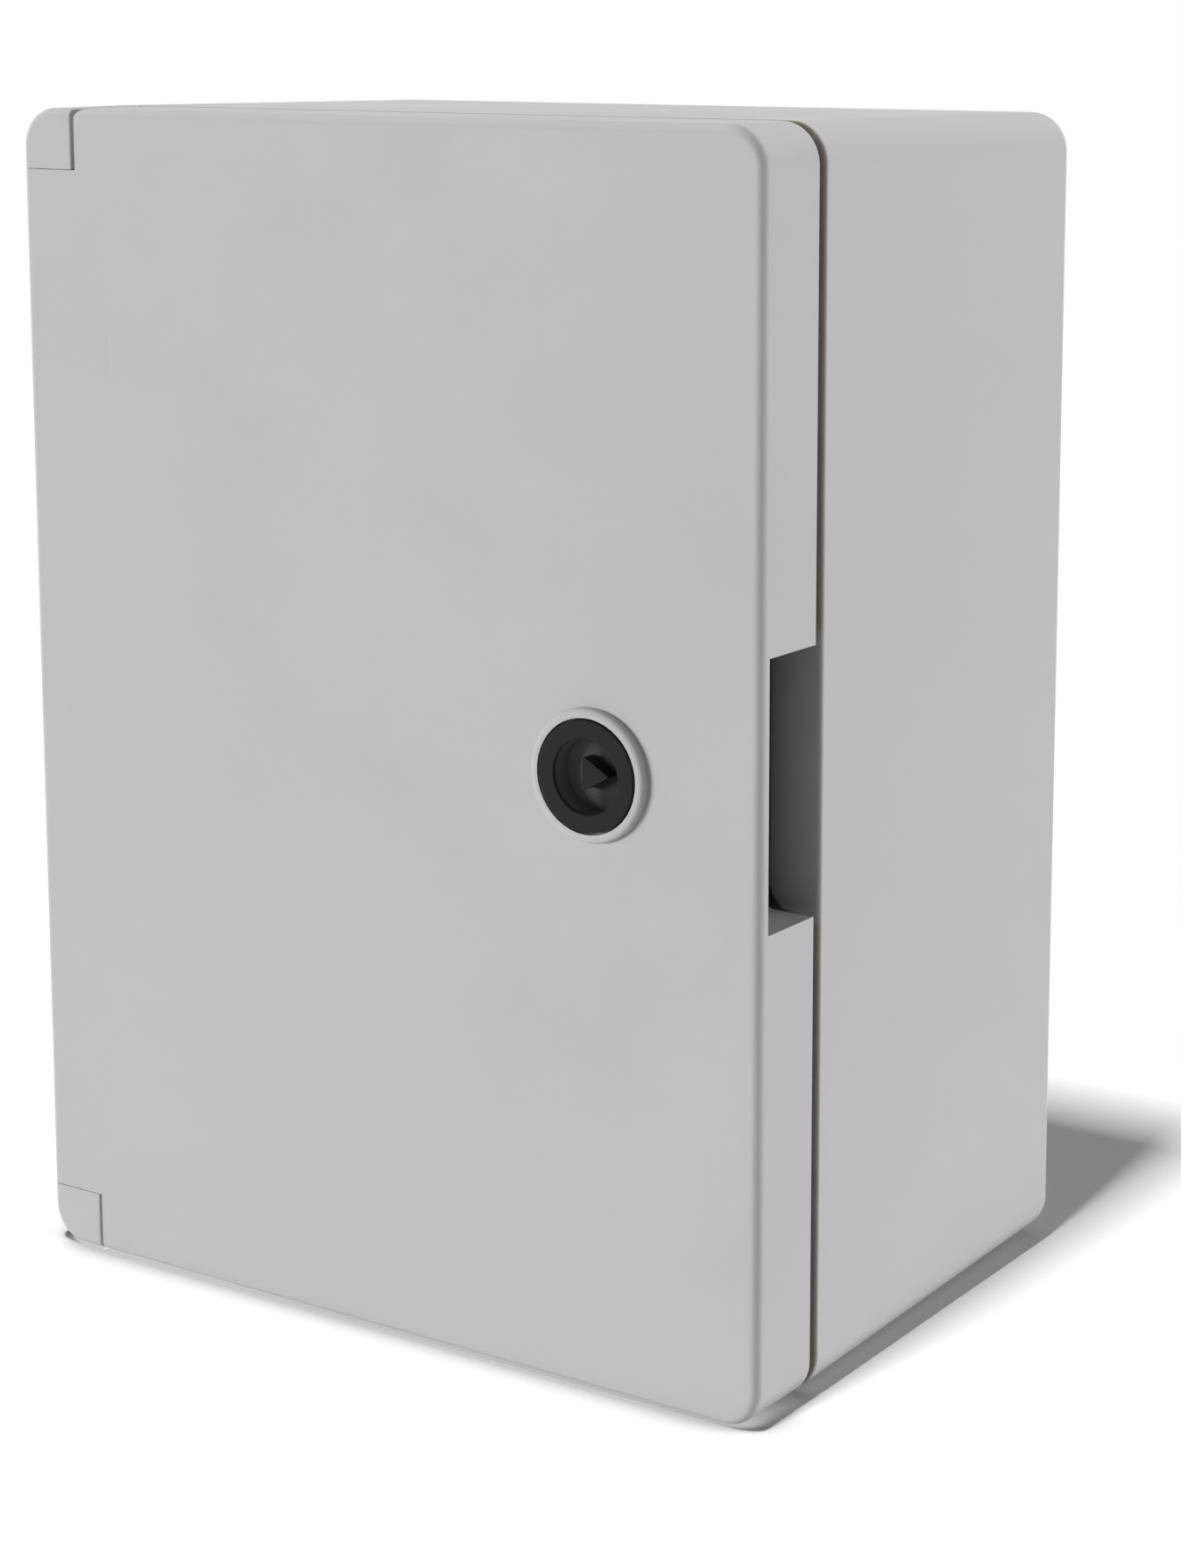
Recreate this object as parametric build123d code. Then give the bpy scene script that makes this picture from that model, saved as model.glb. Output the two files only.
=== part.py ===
from build123d import *
import os
from math import hypot, sqrt

# Overall size of the closed enclosure, in millimetres
WIDTH = 295.0
HEIGHT = 400.0
DEPTH = 200.0
CORNER_RADIUS = 13.0

# Body: a tapering tub with a flange and a collar round its opening
BODY_WALL = 3.0
BODY_TAPER = 2.5
FLANGE_THICKNESS = 3.0
COLLAR_WALL = 3.0
COLLAR_CORNER_RADIUS = 12.0
RIM_EDGE_RADIUS = 1.5
BACK_EDGE_RADIUS = 4.0
PAD_RISE = 0.4
PAD_WIDTH = 155.0
PAD_MARGIN = 2.0
PAD_CORNER_RADIUS = 20.0

# Door: a shallow tray that covers the whole front
DOOR_DEPTH = 31.0
DOOR_GAP = 3.7
DOOR_WALL = 3.0
DOOR_EDGE_RADIUS = 3.0
NOTCH_WALL = 2.5
UPPER_NOTCH_CORNER_RADIUS = 4.0
LOWER_NOTCH_CORNER_RADIUS = 1.0

# Finger pocket in the opening edge of the door
POCKET_HEIGHT = 85.0
POCKET_DEPTH = 19.5
POCKET_LIP = 4.6
POCKET_WALL = 2.5
POCKET_CORNER_RADIUS = 6.0

# Seal: a foam strip between two ribs, closing on the collar
GASKET_WIDTH = 8.0
GASKET_THICKNESS = 8.0
GASKET_EDGE_RADIUS = 2.0
GASKET_GAP = 0.3
RIB_WALL = 2.0

# Hinges: corner blocks on the body, pins in the door
BLOCK_SIDE_MARGIN = 9.3
BLOCK_FOOT_MARGIN = 7.2
BLOCK_EDGE_RADIUS = 0.8
BLOCK_GAP = 0.2
UPPER_BLOCK_SIDE_GAP = 1.6
LOWER_BLOCK_SIDE_GAP = 1.0
SWING_CLEARANCE = 0.5
PIN_RADIUS = 2.0
PIN_IN_BLOCK = 11.0
PIN_END_CHAMFER = 0.5
PIN_END_GAP = 0.5
PIN_RUNNING_CLEARANCE = 0.06
KNUCKLE_WALL = 2.5
KNUCKLE_LENGTH = 16.0
KNUCKLE_EDGE_RADIUS = 2.0
BLOCK_SCREW_RADIUS = 1.6
BLOCK_SCREW_HEAD_RADIUS = 3.2
BLOCK_SCREW_HEAD_HEIGHT = 2.2
BLOCK_SCREW_GRIP = 14.0
BLOCK_SCREW_INSET = 15.5
BLOCK_SCREW_DROP = 11.5
BLOCK_SCREW_SPACING = 8.0

# Quarter-turn latch in the door
LATCH_RING_WALL = 2.9
LATCH_RING_RISE = 3.0
LATCH_RING_EDGE_RADIUS = 1.8
LATCH_FLANGE_OVERHANG = 3.9
LATCH_FLANGE_THICKNESS = 2.5
LATCH_FLANGE_EDGE_RADIUS = 0.6
LATCH_SEAT_GAP = 0.6
LATCH_SEAL_THICKNESS = 0.8
LATCH_RECESS_RADIUS = 12.1
LATCH_RECESS_DEPTH = 5.0
LATCH_RECESS_EDGE_RADIUS = 0.4
LATCH_FLOOR = 3.0
HOUSING_WALL = 1.8
HOUSING_LENGTH = 22.0
LATCH_NUT_WALL = 4.0
LATCH_NUT_THICKNESS = 6.0
LATCH_NUT_GAP = 1.0
TRIANGLE_SIDE = 11.2
TRIANGLE_CORNER_RADIUS = 0.5
BARREL_NECK_MARGIN = 1.5
BARREL_SHOULDER = 2.0
BARREL_RUNNING_CLEARANCE = 0.06
BARREL_END_PLAY = 0.1
O_RING_SECTION_RADIUS = 1.0
O_RING_GROOVE_PLAY = 0.1
CAM_THICKNESS = 2.5
CAM_ENGAGEMENT = 10.0
CAM_WIDTH = 18.0
CAM_HUB_MARGIN = 5.6
CAM_SQUARE = 9.0
CAM_SQUARE_SHOULDER = 0.6
CAM_TIP_RADIUS = 3.0
CAM_CLEARANCE = 0.5
CAM_SCREW_RADIUS = 3.0
CAM_SCREW_LENGTH = 12.0
CAM_SCREW_HEAD_WIDTH = 10.0
CAM_SCREW_HEAD_HEIGHT = 4.0
CAM_WASHER_RADIUS = 6.0
CAM_WASHER_THICKNESS = 1.5

# Mounting plate on four posts, and the wall holes
PLATE_THICKNESS = 2.0
PLATE_EDGE_MARGIN = 5.0
PLATE_HOLE_MARGIN_X = 15.0
PLATE_HOLE_MARGIN_Z = 45.0
PLATE_POST_WALL = 3.5
PLATE_POST_HEIGHT = 14.0
INSERT_RADIUS = 4.0
INSERT_LENGTH = 10.0
PLATE_SCREW_RADIUS = 2.5
PLATE_SCREW_LENGTH = 12.0
PLATE_SCREW_HEAD_RADIUS = 4.6
PLATE_SCREW_HEAD_HEIGHT = 3.2
PLATE_WASHER_RADIUS = 6.0
PLATE_WASHER_THICKNESS = 1.0
WALL_HOLE_MARGIN_X = 47.5
WALL_HOLE_MARGIN_Z = 50.0
WALL_HOLE_RADIUS = 3.5
WALL_COLLAR_RADIUS = 9.0
WALL_COLLAR_HEIGHT = 3.0
WALL_SCREW_ACCESS = 10.0

# Gap round a fixed piece in its hole, and how far a cutter runs past a face
FIT_CLEARANCE = 0.1
OVERCUT = 1.0

# Places and depths that follow, where a depth is measured back from the face of the door
FACE_HEIGHT = HEIGHT - PAD_RISE
CENTRE_Z = PAD_RISE + FACE_HEIGHT / 2
LEFT_X = -WIDTH / 2
LATCH_PROUD = LATCH_FLANGE_THICKNESS + LATCH_SEAL_THICKNESS
FACE_Y = (LATCH_PROUD - DEPTH) / 2
BODY_FRONT = DOOR_DEPTH + DOOR_GAP
FLANGE_BACK = BODY_FRONT + FLANGE_THICKNESS
FLOOR_DEPTH = DEPTH - BODY_WALL

# Hinge axis, and the collar kept clear of the skirt as it swings round that axis
PIVOT_DEPTH = DOOR_WALL + PIN_RADIUS
PIVOT_INSET = DOOR_WALL + PIN_RADIUS + KNUCKLE_WALL
PIVOT_X = LEFT_X + PIVOT_INSET
PIVOT_Y = FACE_Y + PIVOT_DEPTH
BLOCK_WIDTH = CORNER_RADIUS + BLOCK_SIDE_MARGIN
BLOCK_HEIGHT = CORNER_RADIUS + BLOCK_FOOT_MARGIN
SWING_RADIUS = hypot(PIVOT_INSET, DOOR_DEPTH - PIVOT_DEPTH)
COLLAR_INSET = PIVOT_INSET + SWING_RADIUS + SWING_CLEARANCE
RIB_END = DOOR_WALL + GASKET_THICKNESS
COLLAR_FRONT = RIB_END + GASKET_GAP
OPENING_INSET = COLLAR_INSET + COLLAR_WALL
GASKET_INSET = COLLAR_INSET + COLLAR_WALL / 2 - GASKET_WIDTH / 2
GASKET_CORNER_RADIUS = COLLAR_CORNER_RADIUS + COLLAR_INSET - GASKET_INSET
INNER_RIB_INSET = GASKET_INSET + GASKET_WIDTH

# Latch, from its key post outwards and from the door back to its cam
POST_RADIUS = TRIANGLE_SIDE / sqrt(3)
BARREL_NECK_RADIUS = POST_RADIUS + BARREL_NECK_MARGIN
BARREL_RADIUS = BARREL_NECK_RADIUS + BARREL_SHOULDER
LATCH_SHANK_RADIUS = LATCH_RECESS_RADIUS + HOUSING_WALL
LATCH_FLANGE_RADIUS = LATCH_SHANK_RADIUS + LATCH_FLANGE_OVERHANG
LATCH_NUT_WIDTH = 2 * (LATCH_SHANK_RADIUS + LATCH_NUT_WALL)
LATCH_FROM_EDGE = INNER_RIB_INSET + RIB_WALL + LATCH_NUT_GAP + LATCH_NUT_WIDTH / 2
LATCH_X = WIDTH / 2 - LATCH_FROM_EDGE
BORE_START = LATCH_RECESS_DEPTH + LATCH_FLOOR
O_RING_DEPTH = (BORE_START + HOUSING_LENGTH) / 2
CAM_REACH = LATCH_FROM_EDGE - OPENING_INSET + CAM_ENGAGEMENT
CAM_FRONT = FLANGE_BACK + CAM_CLEARANCE
CAM_BACK = CAM_FRONT + CAM_THICKNESS
CAM_SCREW_SEAT = CAM_BACK + CAM_WASHER_THICKNESS
CAM_SCREW_TIP = CAM_SCREW_SEAT - CAM_SCREW_LENGTH

# Mounting plate and the holes that go with it
PLATE_WIDTH = WIDTH - 2 * OPENING_INSET - 2 * PLATE_EDGE_MARGIN
PLATE_HEIGHT = FACE_HEIGHT - 2 * OPENING_INSET - 2 * PLATE_EDGE_MARGIN
PLATE_HOLE_SPACING_X = PLATE_WIDTH - 2 * PLATE_HOLE_MARGIN_X
PLATE_HOLE_SPACING_Z = PLATE_HEIGHT - 2 * PLATE_HOLE_MARGIN_Z
PLATE_BACK = FLOOR_DEPTH - PLATE_POST_HEIGHT
PLATE_FRONT = PLATE_BACK - PLATE_THICKNESS
PLATE_SCREW_SEAT = PLATE_FRONT - PLATE_WASHER_THICKNESS
PLATE_SCREW_TIP = PLATE_SCREW_SEAT + PLATE_SCREW_LENGTH
WALL_HOLE_SPACING_X = WIDTH - 2 * WALL_HOLE_MARGIN_X
WALL_HOLE_SPACING_Z = HEIGHT - 2 * WALL_HOLE_MARGIN_Z


def front_plane(depth, x=0.0, z=CENTRE_Z):
    """A sketch plane that faces forwards, at a depth behind the face of the door."""
    return Plane(origin=(x, FACE_Y + depth, z), x_dir=(1, 0, 0), z_dir=(0, -1, 0))


def slab(profile, start, end, x=0.0, z=CENTRE_Z):
    """A front-view profile carried straight back from one depth to another."""
    return extrude(front_plane(start, x, z) * profile, amount=start - end)


def outline(inset, radius):
    """The rounded outline of the front, drawn in from its edge."""
    return RectangleRounded(WIDTH - 2 * inset, FACE_HEIGHT - 2 * inset, radius)


def ring(inset, wall, radius, start, end):
    """A rounded frame that follows the outline of the front."""
    return slab(outline(inset, radius) - outline(inset + wall, radius - wall), start, end)


def front_edges(shape):
    """The edges round the foremost face."""
    return shape.faces().sort_by(Axis.Y)[0].edges()


def back_edges(shape):
    """The edges round the rearmost face."""
    return shape.faces().sort_by(Axis.Y)[-1].edges()


def box_between(low, high):
    """A box from its lowest to its highest corner."""
    size = [top - bottom for bottom, top in zip(low, high)]
    centre = [(top + bottom) / 2 for bottom, top in zip(low, high)]
    return Pos(*centre) * Box(*size)


def upright(radius, low, high):
    """A round bar on the hinge axis."""
    return Pos(PIVOT_X, PIVOT_Y, (low + high) / 2) * Cylinder(radius, high - low)


def grid_spots(spacing_x, spacing_z):
    """Four places in a rectangle about the middle of the back."""
    return [(side * spacing_x / 2, CENTRE_Z + rise * spacing_z / 2) for side in (-1, 1) for rise in (-1, 1)]


def wall_inset(depth):
    """How far the taper has drawn the wall of the tub in at a depth."""
    return BODY_TAPER * (depth - BODY_FRONT) / (DEPTH - BODY_FRONT)


def tub(inset, start, end):
    """A solid block with the taper of the tub, drawn in from its outer wall."""
    sections = []
    for depth in (start, end):
        drawn_in = inset + wall_inset(depth)
        sections.append(front_plane(depth) * outline(drawn_in, CORNER_RADIUS - inset))
    return loft(sections)


def front_form(end):
    """The front of the enclosure as one block: its outline with a rounded face edge."""
    block = slab(outline(0, CORNER_RADIUS), 0, end)
    return fillet(front_edges(block), DOOR_EDGE_RADIUS)


def standing_pad():
    """A level flat under the bottom wall, on which the box stands upright in spite of its taper."""
    start = FACE_Y + BODY_FRONT + PAD_MARGIN
    end = FACE_Y + DEPTH - BACK_EDGE_RADIUS - PAD_MARGIN
    root = PAD_RISE + BODY_TAPER + BODY_WALL / 2
    profile = RectangleRounded(PAD_WIDTH, end - start, PAD_CORNER_RADIUS)
    return extrude(Pos(0, (start + end) / 2) * profile, amount=root)


def block_screw_spots(rise):
    """Front-view places of the two screws of one hinge block."""
    x = LEFT_X + BLOCK_SCREW_INSET
    middle = FACE_HEIGHT / 2 - BLOCK_SCREW_DROP
    return [(x, CENTRE_Z + rise * (middle + side * BLOCK_SCREW_SPACING / 2)) for side in (-1, 1)]


def body_shell():
    """The tub: tapering walls, a flat back, the flange with its collar, posts and wall holes."""
    shell = tub(0, BODY_FRONT, DEPTH)
    shell = fillet(front_edges(shell), RIM_EDGE_RADIUS)
    shell = fillet(back_edges(shell), BACK_EDGE_RADIUS)
    shell += standing_pad()
    shell -= tub(BODY_WALL, FLANGE_BACK, FLOOR_DEPTH)
    shell += ring(COLLAR_INSET, COLLAR_WALL, COLLAR_CORNER_RADIUS, COLLAR_FRONT, BODY_FRONT)
    shell -= slab(outline(OPENING_INSET, COLLAR_CORNER_RADIUS - COLLAR_WALL), COLLAR_FRONT, FLANGE_BACK)
    for x, z in grid_spots(PLATE_HOLE_SPACING_X, PLATE_HOLE_SPACING_Z):
        hole_radius = INSERT_RADIUS + FIT_CLEARANCE
        hole_end = max(PLATE_BACK + INSERT_LENGTH, PLATE_SCREW_TIP)
        shell += slab(Circle(hole_radius + PLATE_POST_WALL), PLATE_BACK, FLOOR_DEPTH, x, z)
        shell -= slab(Circle(hole_radius), PLATE_BACK, hole_end, x, z)
    for x, z in grid_spots(WALL_HOLE_SPACING_X, WALL_HOLE_SPACING_Z):
        shell += slab(Circle(WALL_COLLAR_RADIUS), FLOOR_DEPTH - WALL_COLLAR_HEIGHT, FLOOR_DEPTH, x, z)
        shell -= slab(Circle(WALL_HOLE_RADIUS), FLOOR_DEPTH - WALL_COLLAR_HEIGHT, DEPTH, x, z)
    for rise in (-1, 1):
        for x, z in block_screw_spots(rise):
            shell -= slab(Circle(BLOCK_SCREW_RADIUS + FIT_CLEARANCE), BODY_FRONT, FLANGE_BACK, x, z)
    return shell


def hinge_block(rise):
    """A corner block, flush with the face of the door, bored for its hinge pin."""
    edge = CENTRE_Z + rise * FACE_HEIGHT / 2
    low, high = sorted((edge + rise * OVERCUT, edge - rise * BLOCK_HEIGHT))
    side = LEFT_X + BLOCK_WIDTH
    reach = box_between((LEFT_X - OVERCUT, FACE_Y - OVERCUT, low), (side, FACE_Y + DEPTH, high))
    block = front_form(BODY_FRONT) & reach
    inner_face = block.faces().sort_by(Axis.X)[-1]
    block = fillet(inner_face.edges().sort_by(Axis.Y)[0], BLOCK_EDGE_RADIUS)
    foot = edge - rise * BLOCK_HEIGHT
    low, high = sorted((foot, foot + rise * (PIN_IN_BLOCK + PIN_END_GAP)))
    block -= upright(PIN_RADIUS + PIN_RUNNING_CLEARANCE, low, high)
    screw_hole = Circle(BLOCK_SCREW_RADIUS + FIT_CLEARANCE)
    for x, z in block_screw_spots(rise):
        block -= slab(screw_hole, BODY_FRONT - BLOCK_SCREW_GRIP, BODY_FRONT, x, z)
    return block


def block_screws():
    """Four pan-head screws that hold the hinge blocks from inside the tub."""
    screws = []
    head_end = FLANGE_BACK + BLOCK_SCREW_HEAD_HEIGHT
    for rise in (-1, 1):
        for x, z in block_screw_spots(rise):
            shank_start = BODY_FRONT - BLOCK_SCREW_GRIP + FIT_CLEARANCE
            shank = slab(Circle(BLOCK_SCREW_RADIUS), shank_start, FLANGE_BACK, x, z)
            head = slab(Circle(BLOCK_SCREW_HEAD_RADIUS), FLANGE_BACK, head_end, x, z)
            head = fillet(back_edges(head), BLOCK_SCREW_HEAD_HEIGHT / 2)
            screws.append(shank + head)
    return Compound(children=screws)


def notch_edge(rise):
    """Height at which the door stops below or above a hinge block."""
    return CENTRE_Z + rise * (FACE_HEIGHT / 2 - BLOCK_HEIGHT - BLOCK_GAP)


def hinge_pin(rise):
    """A plain pin, pushed through the knuckle of the door into the hinge block."""
    edge = notch_edge(rise)
    low, high = sorted((edge - rise * KNUCKLE_LENGTH, edge + rise * (PIN_IN_BLOCK + BLOCK_GAP)))
    pin = upright(PIN_RADIUS, low, high)
    return chamfer(pin.edges().filter_by(GeomType.CIRCLE), PIN_END_CHAMFER)


def door_shell():
    """The door: face, skirt, finger pocket, latch ring, seal ribs, hinge notches and knuckles."""
    form = front_form(DOOR_DEPTH)
    door = form - slab(outline(DOOR_WALL, CORNER_RADIUS - DOOR_WALL), DOOR_WALL, DOOR_DEPTH)
    back = FACE_Y + DOOR_DEPTH

    # Notches round the hinge blocks, each with a wall of its own
    upper = (1, UPPER_BLOCK_SIDE_GAP, UPPER_NOTCH_CORNER_RADIUS)
    lower = (-1, LOWER_BLOCK_SIDE_GAP, LOWER_NOTCH_CORNER_RADIUS)
    for rise, side_gap, corner_radius in (upper, lower):
        edge = notch_edge(rise)
        outside = CENTRE_Z + rise * (FACE_HEIGHT / 2 + OVERCUT)
        side = LEFT_X + BLOCK_WIDTH + side_gap
        low, high = sorted((edge - rise * NOTCH_WALL, outside))
        reach = box_between((LEFT_X, FACE_Y + DOOR_WALL / 2, low), (side + NOTCH_WALL, back, high))
        door += form & reach
        low, high = sorted((edge, outside))
        door -= box_between((LEFT_X - OVERCUT, FACE_Y - OVERCUT, low), (side, back + OVERCUT, high))
        rounding = Pos(corner_radius / 2, -rise * corner_radius / 2) * Circle(corner_radius)
        corner = Rectangle(corner_radius, corner_radius) - rounding
        corner_z = CENTRE_Z + rise * (FACE_HEIGHT - corner_radius) / 2
        door -= slab(corner, 0, DOOR_DEPTH, side + corner_radius / 2, corner_z)
        low, high = sorted((edge, edge - rise * KNUCKLE_LENGTH))
        inner_x = PIVOT_X + PIN_RADIUS + KNUCKLE_WALL
        inner_y = PIVOT_Y + PIN_RADIUS + KNUCKLE_WALL
        knuckle = box_between((LEFT_X + DOOR_WALL / 2, FACE_Y + DOOR_WALL / 2, low), (inner_x, inner_y, high))
        free_edge = knuckle.edges().filter_by(Axis.Z).sort_by(Axis.X)[-2:].sort_by(Axis.Y)[-1]
        door += fillet(free_edge, KNUCKLE_EDGE_RADIUS)
        door -= upright(PIN_RADIUS + FIT_CLEARANCE / 2, low, high)

    # Finger pocket, open to the side and to the rear
    pocket_low = CENTRE_Z - POCKET_HEIGHT / 2
    pocket_high = CENTRE_Z + POCKET_HEIGHT / 2
    inner = WIDTH / 2 - POCKET_DEPTH
    door += box_between(
        (inner - POCKET_WALL, FACE_Y + DOOR_WALL / 2, pocket_low - POCKET_WALL),
        (WIDTH / 2 - DOOR_WALL / 2, back, pocket_high + POCKET_WALL),
    )
    pocket = box_between(
        (inner, FACE_Y + POCKET_LIP, pocket_low), (WIDTH / 2 + OVERCUT, back + OVERCUT, pocket_high)
    )
    pocket = fillet(pocket.edges().filter_by(Axis.Y).sort_by(Axis.X)[:2], POCKET_CORNER_RADIUS)
    door -= pocket

    # Ribs that hold the seal
    rib_inset = GASKET_INSET - RIB_WALL
    door += ring(rib_inset, RIB_WALL, GASKET_CORNER_RADIUS + RIB_WALL, DOOR_WALL / 2, RIB_END)
    door += ring(INNER_RIB_INSET, RIB_WALL, GASKET_CORNER_RADIUS - GASKET_WIDTH, DOOR_WALL / 2, RIB_END)

    # Raised ring and hole for the latch
    seat_radius = LATCH_FLANGE_RADIUS + LATCH_SEAT_GAP
    boss = slab(Circle(seat_radius + LATCH_RING_WALL), -LATCH_RING_RISE, DOOR_WALL / 2, LATCH_X)
    boss = fillet(front_edges(boss), LATCH_RING_EDGE_RADIUS)
    door += boss
    door -= slab(Circle(seat_radius), -LATCH_RING_RISE, 0, LATCH_X)
    door -= slab(Circle(LATCH_SHANK_RADIUS + FIT_CLEARANCE), 0, DOOR_WALL, LATCH_X)
    return door


def door_gasket():
    """The foam strip between the ribs of the door."""
    strip = ring(GASKET_INSET, GASKET_WIDTH, GASKET_CORNER_RADIUS, DOOR_WALL, RIB_END)
    return fillet(back_edges(strip), GASKET_EDGE_RADIUS)


def latch_seal():
    """A flat washer of rubber under the flange of the latch."""
    hole = Circle(LATCH_SHANK_RADIUS + FIT_CLEARANCE)
    profile = Circle(LATCH_FLANGE_RADIUS - LATCH_FLANGE_EDGE_RADIUS) - hole
    return slab(profile, -LATCH_SEAL_THICKNESS, 0, LATCH_X)


def latch_housing():
    """The fixed part of the latch: flange, recess for the key, and a shank through the door."""
    flange = slab(Circle(LATCH_FLANGE_RADIUS), -LATCH_PROUD, -LATCH_SEAL_THICKNESS, LATCH_X)
    flange = fillet(front_edges(flange), LATCH_FLANGE_EDGE_RADIUS)
    housing = flange + slab(Circle(LATCH_SHANK_RADIUS), -LATCH_SEAL_THICKNESS, HOUSING_LENGTH, LATCH_X)
    housing -= slab(Circle(LATCH_RECESS_RADIUS), -LATCH_PROUD, LATCH_RECESS_DEPTH, LATCH_X)
    recess_edge = front_edges(housing).sort_by(SortBy.RADIUS)[0]
    housing = fillet(recess_edge, LATCH_RECESS_EDGE_RADIUS)
    neck = Circle(BARREL_NECK_RADIUS + BARREL_RUNNING_CLEARANCE)
    housing -= slab(neck, LATCH_RECESS_DEPTH, BORE_START, LATCH_X)
    bore = Circle(BARREL_RADIUS + BARREL_RUNNING_CLEARANCE)
    return housing - slab(bore, BORE_START, HOUSING_LENGTH, LATCH_X)


def hexagon(width):
    """A hexagon given by its width across the flats, with a flat on its left and right."""
    sides = 6
    return RegularPolygon(width / 2, sides, major_radius=False, rotation=180 / sides)


def latch_nut():
    """The nut that clamps the housing against the inside of the door."""
    profile = hexagon(LATCH_NUT_WIDTH) - Circle(LATCH_SHANK_RADIUS + FIT_CLEARANCE / 2)
    nut = slab(profile, DOOR_WALL, DOOR_WALL + LATCH_NUT_THICKNESS, LATCH_X)
    crown = slab(Circle(LATCH_NUT_WIDTH / sqrt(3)), DOOR_WALL, DOOR_WALL + LATCH_NUT_THICKNESS, LATCH_X)
    return nut & chamfer(back_edges(crown), LATCH_NUT_THICKNESS / 4)


def latch_barrel():
    """The turning core: triangular key post, neck, bearing with a groove, spigot and square."""
    post = fillet(RegularPolygon(POST_RADIUS, 3).vertices(), TRIANGLE_CORNER_RADIUS)
    shoulder = BORE_START + BARREL_END_PLAY
    spigot = Circle(CAM_SQUARE / sqrt(2) + CAM_SQUARE_SHOULDER)
    barrel = slab(post, 0, LATCH_RECESS_DEPTH, LATCH_X)
    barrel += slab(Circle(BARREL_NECK_RADIUS), LATCH_RECESS_DEPTH, shoulder, LATCH_X)
    barrel += slab(Circle(BARREL_RADIUS), shoulder, HOUSING_LENGTH, LATCH_X)
    barrel += slab(spigot, HOUSING_LENGTH, CAM_FRONT, LATCH_X)
    barrel += slab(Rectangle(CAM_SQUARE, CAM_SQUARE), CAM_FRONT, CAM_BACK - FIT_CLEARANCE, LATCH_X)
    groove_half = O_RING_SECTION_RADIUS + O_RING_GROOVE_PLAY
    groove_floor = BARREL_RADIUS - 2 * O_RING_SECTION_RADIUS
    groove = Circle(BARREL_RADIUS + OVERCUT) - Circle(groove_floor)
    barrel -= slab(groove, O_RING_DEPTH - groove_half, O_RING_DEPTH + groove_half, LATCH_X)
    hole = Circle(CAM_SCREW_RADIUS + FIT_CLEARANCE / 2)
    return barrel - slab(hole, CAM_SCREW_TIP - FIT_CLEARANCE, CAM_BACK, LATCH_X)


def barrel_o_ring():
    """The ring that seals the barrel in its bore."""
    path_radius = BARREL_RADIUS - O_RING_SECTION_RADIUS
    return front_plane(O_RING_DEPTH, LATCH_X) * Torus(path_radius, O_RING_SECTION_RADIUS)


def latch_cam():
    """The flat steel tongue. It hangs down when released and turns behind the flange to lock."""
    arm = Pos(0, -CAM_REACH / 2) * Rectangle(CAM_WIDTH, CAM_REACH)
    arm = fillet(arm.vertices().sort_by(Axis.Y)[:2], CAM_TIP_RADIUS)
    profile = arm + Circle(CAM_SQUARE / sqrt(2) + CAM_HUB_MARGIN)
    hole = CAM_SQUARE + 2 * FIT_CLEARANCE
    return slab(profile - Rectangle(hole, hole), CAM_FRONT, CAM_BACK, LATCH_X)


def cam_washer():
    """The washer under the head of the cam screw."""
    profile = Circle(CAM_WASHER_RADIUS) - Circle(CAM_SCREW_RADIUS + FIT_CLEARANCE)
    return slab(profile, CAM_BACK, CAM_SCREW_SEAT, LATCH_X)


def cam_screw():
    """The hexagon screw that holds the cam on the barrel."""
    head_end = CAM_SCREW_SEAT + CAM_SCREW_HEAD_HEIGHT
    head = slab(hexagon(CAM_SCREW_HEAD_WIDTH), CAM_SCREW_SEAT, head_end, LATCH_X)
    crown = slab(Circle(CAM_SCREW_HEAD_WIDTH / sqrt(3)), CAM_SCREW_SEAT, head_end, LATCH_X)
    head = head & chamfer(back_edges(crown), CAM_SCREW_HEAD_HEIGHT / 5)
    return head + slab(Circle(CAM_SCREW_RADIUS), CAM_SCREW_TIP, CAM_SCREW_SEAT, LATCH_X)


def mounting_plate():
    """A flat sheet with cropped corners that leave the wall holes free."""
    overlap = (PLATE_WIDTH + PLATE_HEIGHT - WALL_HOLE_SPACING_X - WALL_HOLE_SPACING_Z) / 2
    crop = overlap + sqrt(2) * WALL_SCREW_ACCESS
    profile = chamfer(Rectangle(PLATE_WIDTH, PLATE_HEIGHT).vertices(), crop)
    for x, z in grid_spots(PLATE_HOLE_SPACING_X, PLATE_HOLE_SPACING_Z):
        profile -= Pos(x, z - CENTRE_Z) * Circle(PLATE_SCREW_RADIUS + 2 * FIT_CLEARANCE)
    return slab(profile, PLATE_FRONT, PLATE_BACK)


def plate_inserts():
    """Brass sleeves set in the ends of the four posts."""
    profile = Circle(INSERT_RADIUS) - Circle(PLATE_SCREW_RADIUS + FIT_CLEARANCE / 2)
    spots = grid_spots(PLATE_HOLE_SPACING_X, PLATE_HOLE_SPACING_Z)
    return Compound(children=[slab(profile, PLATE_BACK, PLATE_BACK + INSERT_LENGTH, x, z) for x, z in spots])


def plate_washers():
    """Flat washers between the plate and its screws."""
    profile = Circle(PLATE_WASHER_RADIUS) - Circle(PLATE_SCREW_RADIUS + FIT_CLEARANCE)
    spots = grid_spots(PLATE_HOLE_SPACING_X, PLATE_HOLE_SPACING_Z)
    return Compound(children=[slab(profile, PLATE_SCREW_SEAT, PLATE_FRONT, x, z) for x, z in spots])


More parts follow.
